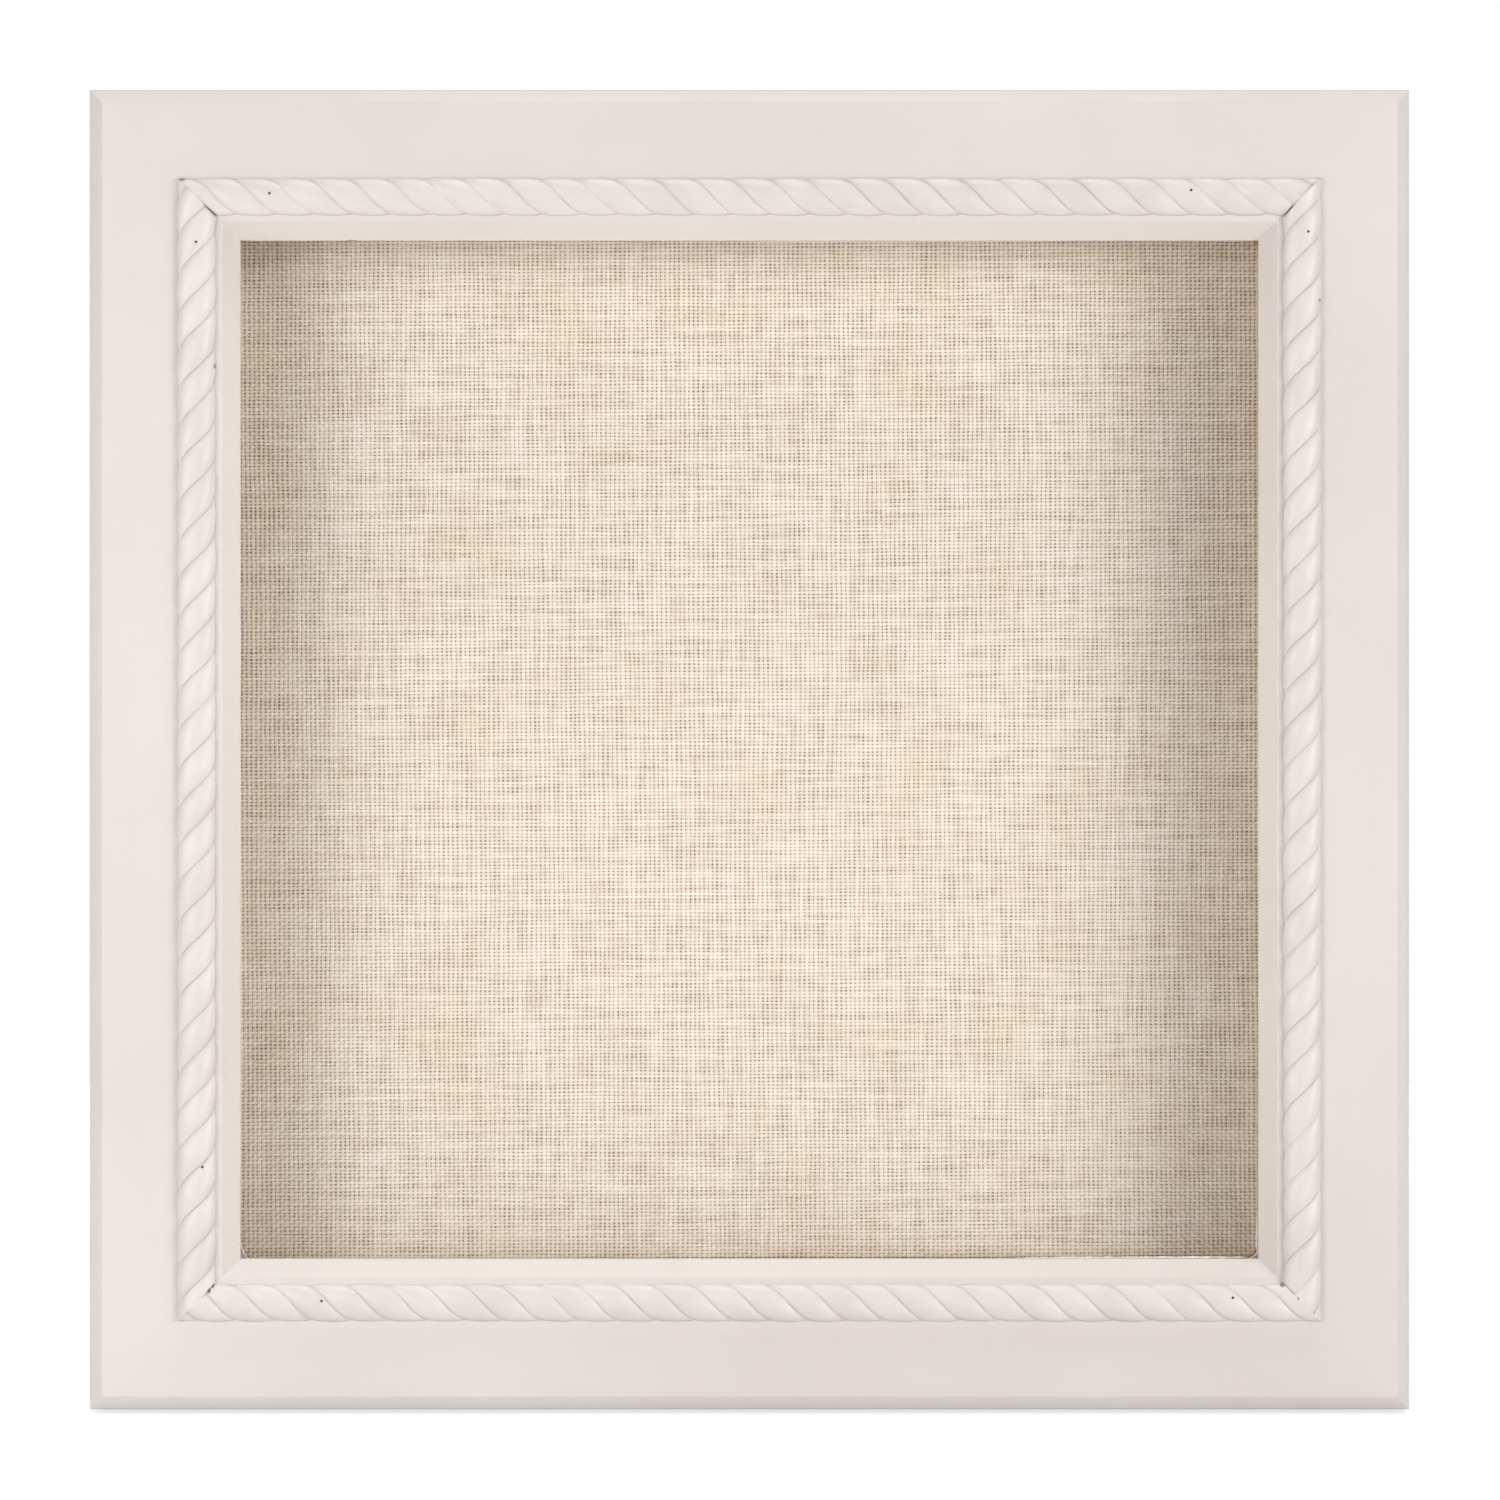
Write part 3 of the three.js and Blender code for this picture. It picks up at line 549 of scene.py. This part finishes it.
def door_member(side):
    """One mitred side: a soft-edged section run along the door's bottom, turned to its place."""
    rabbet = MEMBER - RABBET
    arris = MEMBER - INNER_BEVEL[0]
    lip_back = INNER_BEVEL[1] + LIP
    outline = rounded([
        (0, OUTER_BEVEL[1], 0.9 * MM),
        (OUTER_BEVEL[0], 0, 1.1 * MM),
        (arris, 0, 0.5 * MM),
        (MEMBER, INNER_BEVEL[1], 0.45 * MM),
        (MEMBER, lip_back, 0.3 * MM),
        (rabbet, lip_back, 0),
        (rabbet, DOOR_BACK - FACE, 0.3 * MM),
        (0, DOOR_BACK - FACE, 0.6 * MM),
    ])
    stations = 60
    seed = {"bottom": 3.0, "left": 11.0, "top": 23.0, "right": 37.0}[side]
    bm = bmesh.new()
    rings = []
    for k in range(stations + 1):
        share = 2 * k / stations - 1
        ring = []
        for inward, depth in outline:
            along = share * (HALF - inward)
            wave = noise.noise(Vector((along * 16, inward * 30, seed))) * 0.09 * MM
            front = max(0.0, 1 - depth / (7 * MM)) * (1 - abs(share) ** 12)
            ring.append(bm.verts.new((along, FACE + depth + wave * front, inward - HALF)))
        rings.append(ring)
    loft(bm, rings)
    bmesh.ops.remove_doubles(bm, verts=bm.verts, dist=MERGE)
    bm.transform(Matrix.Translation((0, 0, DOOR_Z)) @ Matrix.Rotation(TURN[side], 4, "Y"))
    node = f"door_{side}_{'rail' if side in ('top', 'bottom') else 'stile'}"
    return piece_from(f"{node}_paint", bm, MEMBER_SMOOTH), node


def hinge_cuts(which):
    """The room in the door for one hinge's leaf and barrel."""
    low, high = grown(f"{which}_hinge_door_leaf", LEAF_ROOM)
    barrel_low, barrel_high = grown(f"{which}_hinge_pin", BARREL_ROOM)
    past_edge, past_back = -HALF - PAST, DOOR_BACK + PAST
    barrel_right = barrel_high.x + 0.6 * MM
    return [
        block((past_edge, barrel_low.y + BARREL_ROOM, low.z), (high.x, past_back, high.z)),
        block((past_edge, barrel_low.y, barrel_low.z), (barrel_right, past_back, barrel_high.z)),
    ]


def strike_cut():
    """The round hole in the door's back for the magnet's steel strike."""
    low, high = grown("magnet_strike", LEAF_ROOM)
    centre = (low + high) / 2 + Vector((0, PAST, 0))
    return rod(centre, (0, 1, 0), (high.x - low.x) / 2, high.y - low.y + 2 * PAST)


for side in TURN:
    member, node = door_member(side)
    if side == "left":
        carve(member, hinge_cuts("lower") + hinge_cuts("upper"), MEMBER_SMOOTH)
    if side == "right":
        carve(member, [strike_cut()], MEMBER_SMOOTH)
    member_paint = rail_paint if side in ("top", "bottom") else stile_paint
    fit_out(member, "door", "painted_wood", member_paint, node)


# ---------------------------------------------------------------- rope moulding
DIMPLE = 0.9 * MM  # radius of the sunken paint round a pin
MITRE_GAP_LENGTH = 4 * MM
# How far each mitre has opened at its inner end, for the strip's two ends.
MITRE_OPENING = {
    "bottom": (0.12 * MM, 0.08 * MM),
    "left": (0.3 * MM, 0.1 * MM),
    "top": (0.3 * MM, 0.6 * MM),
    "right": (0.15 * MM, 0.6 * MM),
}


def rope_strip(side):
    """Half a twisted rope, on a grid that leans along the grooves and is dense in them, mitred."""
    draw = random.Random(f"rope {side}")
    pitch = 2 * (HALF - ROPE_INSET) / STRANDS
    middle = ROPE_INSET + ROPE_WIDTH / 2 - HALF
    per_strand, around_steps = 12, 26
    first = -STRANDS // 2 - 2
    bm = bmesh.new()
    rows = []
    for strand in range(STRANDS + 4):
        width = 1 + draw.uniform(-0.05, 0.05)
        full = 1 + draw.uniform(-0.03, 0.02)
        tilt = draw.uniform(-0.05, 0.05)
        for k in range(per_strand):
            s = 0.5 - 0.5 * math.cos(math.pi * k / per_strand)
            bulge = (1 - abs(2 * s - 1) ** 2.3) ** 0.62
            row = []
            for step in range(around_steps + 1):
                angle = math.pi * step / around_steps
                share = angle / math.pi - 0.5
                along = (first + strand + 0.5 + (s - 0.5) * width) * pitch
                along -= (LEAN + tilt * math.sin(math.pi * s)) * pitch * share
                radius = (1 - GROOVE * (1 - bulge)) * (1 + (full - 1) * bulge)
                x_noise = Vector((along * 140, angle * 1.2, 5.0))
                radius += 0.02 * noise.noise(x_noise)
                depth = ROPE_HEIGHT * radius * max(0.0, math.sin(angle)) ** 0.85
                across = -ROPE_WIDTH / 2 * (1 - 0.55 * (1 - radius)) * math.cos(angle)
                row.append(bm.verts.new((along, FACE + 0.05 * MM - depth, middle + across)))
            rows.append(row)
    loft(bm, rows)
    for end in (-1, 1):
        cut = bmesh.ops.bisect_plane(
            bm, geom=bm.verts[:] + bm.edges[:] + bm.faces[:],
            plane_co=(end * ROPE_OUT, 0, -ROPE_OUT), plane_no=(end, 0, 1), clear_outer=True,
        )
        rim = [e for e in cut["geom_cut"] if isinstance(e, bmesh.types.BMEdge)]
        bmesh.ops.contextual_create(bm, geom=rim)
    for v in bm.verts:
        end = 0 if v.co.x < 0 else 1
        to_mitre = (-v.co.z - abs(v.co.x)) / (3 * MM)
        inward = 1 - (-ROPE_IN - v.co.z) / MITRE_GAP_LENGTH
        if to_mitre < 1 and inward > 0:
            opening = MITRE_OPENING[side][end] * inward * (1 - to_mitre) ** 2
            v.co.x -= math.copysign(opening, v.co.x)
    bm.transform(Matrix.Translation((0, 0, DOOR_Z)) @ Matrix.Rotation(TURN[side], 4, "Y"))
    return piece_from(f"rope_{side}_paint", bm, 75)


def dimple(rope, pins):
    """Sinks the rope's paint to each pin's head."""
    for pin in pins:
        low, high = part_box(pin)
        centre, head = (low + high) / 2, low.y
        for v in rope.data.vertices:
            away = math.hypot(v.co.x - centre.x, v.co.z - centre.z)
            if away < DIMPLE and v.co.y < FACE - 1 * MM:
                near = 1 - away / DIMPLE
                v.co.y += (head + 0.08 * MM - v.co.y) * min(1, near * 2.2)


for side in TURN:
    rope = rope_strip(side)
    dimple(rope, [f"rope_pin_{side}_{i}" for i in (1, 2)])
    fit_out(rope, "door", "painted_rope", rope_finish, f"rope_{side}")


# ---------------------------------------------------------------- sealant that has crept past the lip
SEAL_LIFT = 0.01 * MM  # between the sealant and the glass
ACROSS = 8  # steps over a bead or across a film
FILM_STEPS = 24  # steps along a film's curve


def bead(name, start, end, half_width, steps, seed):
    """A low clear bead on the glass, between two points right of and above the door's middle."""
    rise = 0.3 * MM
    start, end = Vector(start), Vector(end)
    across = (end - start).normalized().orthogonal()
    bm = bmesh.new()
    rows = []
    for i in range(steps + 1):
        middle = start.lerp(end, i / steps)
        lump = 0.75 + 0.5 * noise.noise(Vector((middle.x * 420, middle.y * 420, seed)))
        taper = 0.15 + 0.85 * math.sin(math.pi * (i + 0.3) / (steps + 0.6)) ** 0.4
        width = half_width * lump * taper
        row = []
        for k in range(ACROSS + 1):
            a = math.pi * k / ACROSS
            spot = middle + across * width * math.cos(a)
            out = rise * lump * math.sin(a) * width / half_width
            row.append(bm.verts.new((spot.x, GLASS_FRONT - 0.03 * MM - out, DOOR_Z + spot.y)))
        for k in (1, -1):
            spot = middle - across * width * k
            row.append(bm.verts.new((spot.x, GLASS_FRONT - SEAL_LIFT, DOOR_Z + spot.y)))
        rows.append(row)
    loft(bm, rows)
    return fit_out(piece_from(name, bm, 60), "door", "sealant", sealant_finish)


def corner_film(name, side, reach_x, reach_z, rise):
    """A thin film of sealant that fills a lower corner of the opening out to a hollow curve."""
    edge = SIGHT + 0.4 * MM
    bm = bmesh.new()
    rows = []
    for i in range(FILM_STEPS + 1):
        a = math.pi / 2 * i / FILM_STEPS
        ragged = 1 + 0.05 * noise.noise(Vector((a * 9, reach_x * 900, 4.0)))
        x = reach_x * (1 - math.sin(a)) ** 0.9 * ragged + 0.05 * MM
        z = reach_z * (1 - math.cos(a)) ** 0.9 * ragged + 0.05 * MM
        row = []
        for k in range(ACROSS + 1):
            uneven = 0.8 + 0.4 * noise.noise(Vector((x * k * 90, z * k * 90, 7.0)))
            swell = math.sin(math.pi * (k / ACROSS) ** 3) * uneven
            out = 0.05 * MM + rise * (0.35 + 0.65 * swell)
            inward, up = x * k / ACROSS, z * k / ACROSS
            row.append((side * (edge - inward), GLASS_FRONT - out, DOOR_Z - edge + up))
        row.append((side * (edge - x), GLASS_FRONT - SEAL_LIFT, DOOR_Z - edge + z))
        row.append((side * edge, GLASS_FRONT - SEAL_LIFT, DOOR_Z - edge))
        rows.append([bm.verts.new(spot) for spot in row])
    loft(bm, rows)
    bmesh.ops.remove_doubles(bm, verts=bm.verts, dist=MERGE)
    return fit_out(piece_from(name, bm, 60), "door", "sealant", film_shade_finish)


def squeeze_out():
    """Sealant in the lower corners, where it shows inside the lip."""
    edge = SIGHT
    low, high = (edge - 0.2 * MM, 2 * MM - edge), (edge - 0.1 * MM, 12 * MM - edge)
    bead("sealant_bead_right", low, high, 0.5 * MM, 24, 3)
    right, left = (edge - 3 * MM, 0.2 * MM - edge), (edge - 70 * MM, -edge)
    bead("sealant_bead_bottom", right, left, 0.45 * MM, 90, 5)
    corner_film("sealant_film_left", -1, 3.4 * MM, 7.4 * MM, 0.35 * MM)
    corner_film("sealant_film_right", 1, 4.6 * MM, 3.6 * MM, 0.6 * MM)


squeeze_out()


# ---------------------------------------------------------------- linen cover
CORNER_X, CORNER_Z = 5.5 * MM, 8.5 * MM
ROLL = 1.1 * MM
HEM = 22 * MM
CLOTH = 0.7 * MM
SLACK = 0.25 * MM  # how far the stretched cloth waves in and out


def linen_outline(count_side=60, count_corner=14):
    """Points round the board with the way out at each, from the middle of the board."""
    half = (LINEN[1].x - LINEN[0].x) / 2 - 0.6 * MM
    spots = []
    for quarter in range(4):
        sx, sz = ((1, 1), (-1, 1), (-1, -1), (1, -1))[quarter]
        for k in range(count_corner + 1):
            a = (math.pi / 2) * k / count_corner
            a = a if sx * sz > 0 else math.pi / 2 - a
            x = sx * (half - CORNER_X + CORNER_X * math.cos(a))
            z = sz * (half - CORNER_Z + CORNER_Z * math.sin(a))
            out = Vector((sx * math.cos(a) / CORNER_X, sz * math.sin(a) / CORNER_Z)).normalized()
            spots.append((Vector((x, z)), out))
        nx, nz = ((1, 1), (-1, 1), (-1, -1), (1, -1))[(quarter + 1) % 4]
        start, way = spots[-1]
        a0 = 0 if nx * nz > 0 else math.pi / 2
        end = Vector((
            nx * (half - CORNER_X + CORNER_X * math.cos(a0)),
            nz * (half - CORNER_Z + CORNER_Z * math.sin(a0)),
        ))
        for k in range(1, count_side):
            spots.append((start.lerp(end, k / count_side), way))
    return spots


def linen_cover():
    """One cloth over the front, round the edges and a little way behind, with flat coordinates."""
    spots = linen_outline()
    front, back = LINEN[0].y + CLOTH / 2, CORE[1].y + 0.15 * MM
    side = back - front - 2 * ROLL
    centre = (LINEN[0] + LINEN[1]) / 2
    bm = bmesh.new()
    cloth = bm.loops.layers.uv.new("cloth")
    flat = {}
    rings = []
    front_rings, roll_rings, edge_rings, hem_rings = 40, 4, 3, 8

    def ring(move, depth, outwards):
        """A round of vertices, scaled by move, or outwards by so much in space and on the flat."""
        made = []
        for spot, out in spots:
            at = spot * move if outwards is None else spot + out * outwards[0]
            v = bm.verts.new((centre.x + at.x, depth, centre.z + at.y))
            flat[v] = at if outwards is None else spot + out * outwards[1]
            made.append(v)
        rings.append(made)

    for k in range(1, front_rings + 1):
        ring(k / front_rings, front, None if k < front_rings else (-ROLL, -ROLL))
    quarter = math.pi / 2 * ROLL
    for k in range(1, roll_rings + 1):
        a = math.pi / 2 * k / roll_rings
        ring(1, front + ROLL * (1 - math.cos(a)), (ROLL * (math.sin(a) - 1), ROLL * a - ROLL))
    run = quarter - ROLL
    for k in range(1, edge_rings + 1):
        reach = side * k / edge_rings
        ring(1, front + ROLL + reach, (0, run + reach))
    run += side
    for k in range(1, roll_rings + 1):
        a = math.pi / 2 * k / roll_rings
        ring(1, back - ROLL * (1 - math.sin(a)), (-ROLL * (1 - math.cos(a)), run + ROLL * a))
    run += quarter
    for k in range(1, hem_rings + 1):
        reach = HEM * k / hem_rings
        ring(1, back, (-ROLL - reach, run + reach))

    hub = bm.verts.new((centre.x, front, centre.z))
    flat[hub] = Vector((0, 0))
    count = len(spots)
    for i in range(count):
        bm.faces.new((hub, rings[0][i], rings[0][(i + 1) % count]))
    for a, b in zip(rings, rings[1:]):
        for i in range(count):
            bm.faces.new((a[i], b[i], b[(i + 1) % count], a[(i + 1) % count]))
    for face in bm.faces:
        for loop in face.loops:
            loop[cloth].uv = flat[loop.vert]
    for v in bm.verts:
        if abs(v.co.y - front) < 0.001 * MM:
            v.co.y += noise.noise(Vector((v.co.x * 11, 2.0, v.co.z * 11))) * SLACK
    lean = Matrix.Rotation(math.radians(-0.2), 4, "Y")
    bm.transform(Matrix.Translation(centre) @ lean @ Matrix.Translation(-centre))
    piece = piece_from("linen_cloth", bm, 180)
    thick = piece.modifiers.new("thickness", "SOLIDIFY")
    thick.thickness, thick.offset = CLOTH, 0
    applied(piece, 80)
    return piece, LINEN[1].x - LINEN[0].x + 2 * (side + HEM)


linen, cut_size = linen_cover()
fit_out(linen, "case", "linen", linen_finish, "linen_cover")


# ---------------------------------------------------------------- materials of the CAD pieces that stay
def ease_edges(piece, width):
    """Sanded edges on a sawn board."""
    eased = piece.modifiers.new("eased edges", "BEVEL")
    eased.width, eased.segments, eased.limit_method = width, 2, "ANGLE"
    eased.angle_limit, eased.harden_normals = math.radians(60), True


def finish_cad():
    """Materials for every CAD piece that the visual model keeps."""
    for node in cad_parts:
        piece = bpy.data.objects.get(node)
        if piece is None or piece.hide_render:
            continue
        if node.startswith("case_"):
            dress(piece, case_up if node in ("case_left", "case_right") else case_across)
            ease_edges(piece, 0.6 * MM)
        elif node == "rope_pin_right_1":  # painted over
            dress(piece, rope_finish)
        elif node.startswith("rope_pin"):
            dress(piece, dark_steel_finish)
        elif "hinge" in node:
            dress(piece, brass_finish)
        elif "hanger" in node or node == "catch_magnet":
            dress(piece, nickel_finish)
        elif node.startswith("sealant"):
            dress(piece, sealant_finish)
        elif "bumper" in node:
            dress(piece, felt_finish)
        elif node == "glass_pane":
            dress(piece, glass_finish)
        elif node == "back_panel":
            dress(piece, hardboard_finish)
        elif node == "display_board":
            dress(piece, board_finish)
        else:
            dress(piece, steel_finish)


finish_cad()


# ---------------------------------------------------------------- floor, lights and camera
FLOOR_RADIUS = 1.6
FLOOR_DROP = 0.2 * MM  # under the case, so that no two faces coincide
FADE_FROM, FADE_TO = 0.45, 1.1  # distances between which the floor turns fully into its own light
GLOW_NEAR = 0.55  # share of that light near the object
GLOW = 1.34


def stage_floor():
    """A pale floor that the camera sees nearly white from above, and not at all from beneath."""
    bm = bmesh.new()
    bmesh.ops.create_circle(bm, cap_ends=True, segments=96, radius=FLOOR_RADIUS)
    bm.transform(Matrix.Translation((0, 0, -FLOOR_DROP)))
    floor = piece_from("floor", bm, 180)
    if floor.data.polygons[0].normal.z < 0:
        floor.data.flip_normals()
    n = Nodes("pale_floor")
    n.finish(n.mix(n.noise(n.coordinates(), 3, 2), (0.78, 0.78, 0.78), (0.8, 0.8, 0.8)), 0.9)
    glow = n.new("ShaderNodeEmission")
    seen = n.new("ShaderNodeLightPath").outputs["Is Camera Ray"]
    reach = n.new("ShaderNodeVectorMath", operation="LENGTH")
    n.link(n.coordinates(), reach.inputs[0])
    far_off = n.step(reach.outputs["Value"], FADE_FROM, FADE_TO)
    share = n.math("ADD", GLOW_NEAR, n.math("MULTIPLY", far_off, 1 - GLOW_NEAR))
    glow.inputs["Strength"].default_value = GLOW
    above = n.blend(n.math("MULTIPLY", seen, share), n.shader.outputs[0], glow.outputs[0])
    beneath = n.new("ShaderNodeNewGeometry").outputs["Backfacing"]
    clear = n.new("ShaderNodeBsdfTransparent").outputs[0]
    dress(floor, n.show(n.blend(beneath, above, clear)))


def softbox(name, azimuth, elevation, distance, width, height, watts):
    """A soft light aimed at the door's middle, so many degrees round and up from straight ahead."""
    a, e = math.radians(azimuth), math.radians(elevation)
    aim = Vector((0, FACE, DOOR_Z))
    way = Vector((math.sin(a) * math.cos(e), -math.cos(a) * math.cos(e), math.sin(e)))
    data = bpy.data.lights.new(name, "AREA")
    data.shape, data.size, data.size_y, data.energy = "RECTANGLE", width, height, watts
    lamp = bpy.data.objects.new(name, data)
    lamp.location = aim + way * distance
    lamp.rotation_mode = "QUATERNION"
    lamp.rotation_quaternion = (-way).to_track_quat("-Z", "Y")
    bpy.context.scene.collection.objects.link(lamp)


def world_light(fill, mirrored):
    """White to the camera, a weaker white in reflections, and a faint fill on everything else."""
    world = bpy.data.worlds.new("studio")
    bpy.context.scene.world = world
    world.use_nodes = True
    tree = world.node_tree
    path = tree.nodes.new("ShaderNodeLightPath")
    shade = tree.nodes["Background"]
    shade.inputs["Strength"].default_value = fill
    for ray, strength in (("Is Glossy Ray", mirrored), ("Is Camera Ray", 1.0)):
        seen = tree.nodes.new("ShaderNodeBackground")
        seen.inputs["Strength"].default_value = strength
        blend = tree.nodes.new("ShaderNodeMixShader")
        tree.links.new(path.outputs[ray], blend.inputs[0])
        tree.links.new(shade.outputs[0], blend.inputs[1])
        tree.links.new(seen.outputs[0], blend.inputs[2])
        shade = blend
    for node in tree.nodes:
        if node.type == "BACKGROUND":
            node.inputs["Color"].default_value = (1, 1, 1, 1)
    tree.links.new(shade.outputs[0], tree.nodes["World Output"].inputs[0])


def camera():
    """Square to the door, and far enough for the little perspective that the photograph has."""
    distance, view_width = 1.6, 0.4323
    off_x, off_z = 0.17 * MM, -0.1 * MM
    data = bpy.data.cameras.new("camera")
    data.sensor_width = 36
    data.lens = data.sensor_width * distance / view_width
    data.clip_start, data.clip_end = 0.01, 50
    eye = bpy.data.objects.new("camera", data)
    eye.location = (off_x, FACE - distance, DOOR_Z + off_z)
    eye.rotation_euler = (math.pi / 2, 0, 0)
    bpy.context.scene.collection.objects.link(eye)
    bpy.context.scene.camera = eye


stage_floor()
# Degrees round and up, metres away, width, height and watts.
softbox("key", 50, 2, 1.7, 0.8, 0.8, 9.0)
softbox("key_far", 42, 10, 2.8, 1.4, 1.0, 18.6)
softbox("key_front", 31, 0, 1.7, 0.7, 0.7, 3.1)
softbox("fill", -41, 0, 1.7, 0.8, 0.8, 10.0)
softbox("fill_near", -32, 0, 0.9, 0.4, 0.4, 1.3)
softbox("fill_side", -74, 8, 0.9, 0.4, 0.4, 0.85)
softbox("behind_left", -140, 30, 1.9, 0.9, 0.9, 18)
softbox("behind_right", 140, 30, 1.9, 0.9, 0.9, 18)
softbox("overhead", 0, 78, 1.7, 0.8, 0.7, 12.6)
world_light(fill=0.02, mirrored=0.1)
camera()
bpy.context.scene.view_settings.view_transform = "Standard"
